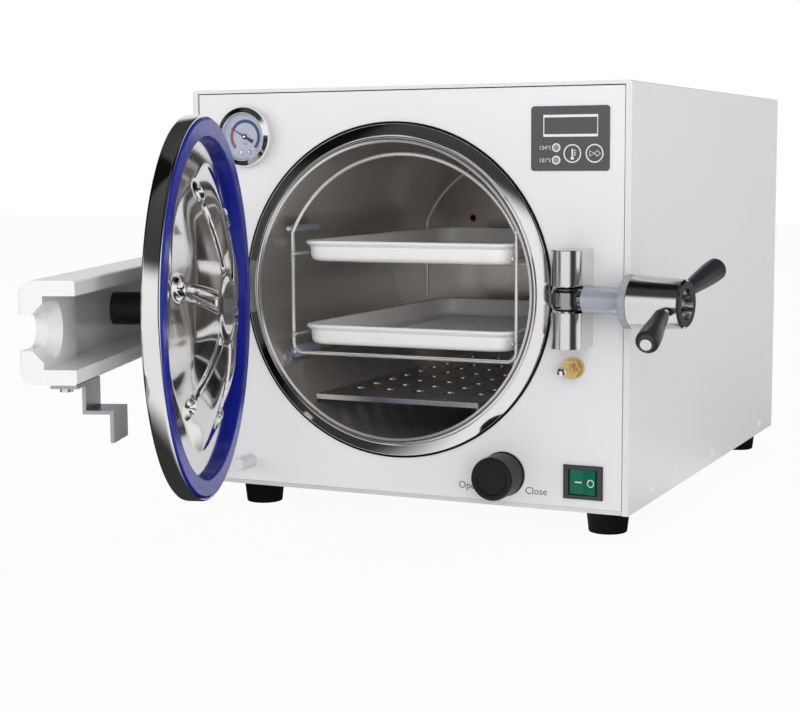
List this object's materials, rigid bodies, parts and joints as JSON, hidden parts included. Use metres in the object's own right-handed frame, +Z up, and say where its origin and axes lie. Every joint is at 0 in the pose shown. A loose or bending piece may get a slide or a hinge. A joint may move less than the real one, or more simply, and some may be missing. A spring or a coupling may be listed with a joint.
{
  "type": "bench-top steam steriliser",
  "caption": "Bench-top steam autoclave: box cabinet with a round pressure chamber, disc door on a forked cast arm, swing-bolt lock, gauge, display, tray rack and drain knob.",
  "frame": {"origin": "on the bench, under the middle of the cabinet", "axes": "+X to the user's right, -Y out of the front, +Z up"},
  "size_m": [0.4358, 0.872, 0.34],
  "materials": {
    "painted_cover": "satin powder coat",
    "painted_panel": "satin powder coat",
    "painted_arm": "gloss paint",
    "zinc_base": "zinc plated",
    "zinc_screw": "zinc plated",
    "black_rubber": "matt",
    "chamber_steel": "brushed stainless",
    "polished_flange": "polished stainless",
    "mirror_steel": "mirror polished stainless",
    "heater_metal": "dull",
    "glass_fibre": "woven",
    "tray_steel": "pressed stainless",
    "tray_aluminium": "satin",
    "rack_wire": "polished wire",
    "silicone_sleeve": "translucent silicone",
    "black_metal": "satin",
    "chrome": "polished",
    "brushed_chrome": "satin chrome",
    "clear_glass": "clear",
    "dial_face": "printed",
    "copper_pipe": "copper",
    "brass": "turned brass",
    "overlay_film": "printed film",
    "circuit_board": "solder mask",
    "display_window": "smoked",
    "lamp_lens": "clear lens",
    "black_plastic": "moulded",
    "green_plastic": "moulded",
    "white_plastic": "moulded",
    "black_steel": "blackened",
    "clear_plastic": "translucent",
    "blue_silicone": "gloss silicone",
    "bright_strip": "bent strip"
  },
  "bodies": {
    "cabinet": {"outer_cover": "painted_cover", "base_plate": "zinc_base", "front_panel": "painted_panel", "mounting_plate": "zinc_base", "rear_panel": "painted_panel", "cover_screws": "painted_cover", "feet": "black_rubber", "foot_screws": "zinc_screw", "chamber_vessel": "chamber_steel", "chamber_flange": "polished_flange", "flange_trim": "black_rubber", "heater_band": "heater_metal", "insulation_blanket": "glass_fibre", "floor_plate": "tray_steel", "gauge_case": "black_metal", "gauge_bezel": "chrome", "gauge_glass": "clear_glass", "gauge_dial": "dial_face", "control_overlay": "overlay_film", "control_board": "circuit_board", "display_module": "display_window", "indicator_lamps": "lamp_lens", "rocker_bezel": "black_plastic", "drain_valve": "brass", "drain_pipes": "copper_pipe", "gauge_pipe": "copper_pipe", "power_inlet": "black_plastic", "plunger_fitting": "brass", "plunger_washer": "black_rubber", "door_microswitch": "black_plastic", "door_bumper": "white_plastic", "bolt_bracket": "brushed_chrome", "pivot_pin": "brushed_chrome", "hinge_block": "painted_arm", "hinge_pin": "chrome", "panel_bolts": "zinc_screw"},
    "rack": {"rack_hoops": "rack_wire", "rack_rails": "rack_wire", "rack_cross_wires": "rack_wire", "rack_sleeves": "silicone_sleeve"},
    "upper_tray_body": {"upper_tray": "tray_aluminium"},
    "lower_tray_body": {"lower_tray": "tray_aluminium"},
    "needle": {"gauge_needle": "black_metal"},
    "temperature_key": {"temperature_button": "overlay_film"},
    "start_key": {"start_button": "overlay_film"},
    "rocker": {"rocker_paddle": "green_plastic"},
    "knob": {"drain_knob": "black_plastic"},
    "plunger": {"door_plunger": "chrome"},
    "bolt": {"swing_bolt": "black_steel"},
    "bush": {"thrust_bush": "clear_plastic"},
    "hub": {"lock_hub": "brushed_chrome", "handle_studs": "chrome", "handle_grips": "black_plastic"},
    "door": {"door_arm": "painted_arm", "door_disc": "mirror_steel", "door_gasket": "blue_silicone", "disc_bush": "black_steel", "disc_stud": "zinc_screw", "z_bracket": "bright_strip", "z_bracket_screw": "zinc_screw"}
  },
  "joints": [
    {"name": "door_hinge", "type": "hinge", "parent": "cabinet", "child": "door", "pos_m": [-0.1564, -0.3003, 0.182], "axis": [0, 0, 1], "range_deg": [-28, 71.95]},
    {"name": "bolt_swing", "type": "hinge", "parent": "cabinet", "child": "bolt", "pos_m": [0.1446, -0.2605, 0.182], "axis": [0, 0, -1], "range_deg": [-4, 83.3]},
    {"name": "lock_travel", "type": "slide", "parent": "bolt", "child": "bush", "axis": [0.9932, -0.1167, 0], "range_m": [-0.0021, 0.0201]},
    {"name": "lock_spin", "type": "hinge", "parent": "bush", "child": "hub", "pos_m": [0.1446, -0.2605, 0.182], "axis": [0.9932, -0.1167, 0], "range_deg": [-180, 1800]},
    {"name": "drain_turn", "type": "hinge", "parent": "cabinet", "child": "knob", "pos_m": [0.0868, -0.238, 0.045], "axis": [0, -1, 0], "range_deg": [0, 270]},
    {"name": "mains_rocker", "type": "hinge", "parent": "cabinet", "child": "rocker", "pos_m": [0.1499, -0.235, 0.0427], "axis": [0, 0, 1], "range_deg": [0, 16]},
    {"name": "temperature_press", "type": "slide", "parent": "cabinet", "child": "temperature_key", "axis": [0, 1, 0], "range_m": [0, 0.0005], "stiffness_N_per_m": 400},
    {"name": "start_press", "type": "slide", "parent": "cabinet", "child": "start_key", "axis": [0, 1, 0], "range_m": [0, 0.0005], "stiffness_N_per_m": 400},
    {"name": "plunger_press", "type": "slide", "parent": "cabinet", "child": "plunger", "axis": [0, 1, 0], "range_m": [0, 0.005], "stiffness_N_per_m": 300},
    {"name": "gauge_reading", "type": "hinge", "parent": "cabinet", "child": "needle", "pos_m": [-0.135, -0.238, 0.3025], "axis": [0, 1, 0], "range_deg": [0, 210], "stiffness_Nm_per_rad": 0.001},
    {"name": "rack_slide", "type": "slide", "parent": "cabinet", "child": "rack", "axis": [0, 1, 0], "range_m": [-0.06, 0]},
    {"name": "upper_tray_slide", "type": "slide", "parent": "rack", "child": "upper_tray_body", "axis": [0, 1, 0], "range_m": [-0.06, 0]},
    {"name": "lower_tray_slide", "type": "slide", "parent": "rack", "child": "lower_tray_body", "axis": [0, 1, 0], "range_m": [-0.06, 0]}
  ],
  "couplings": [
    {"joint": "lock_travel", "follows": "lock_spin", "m_per_rad": 0.00063662}
  ]
}
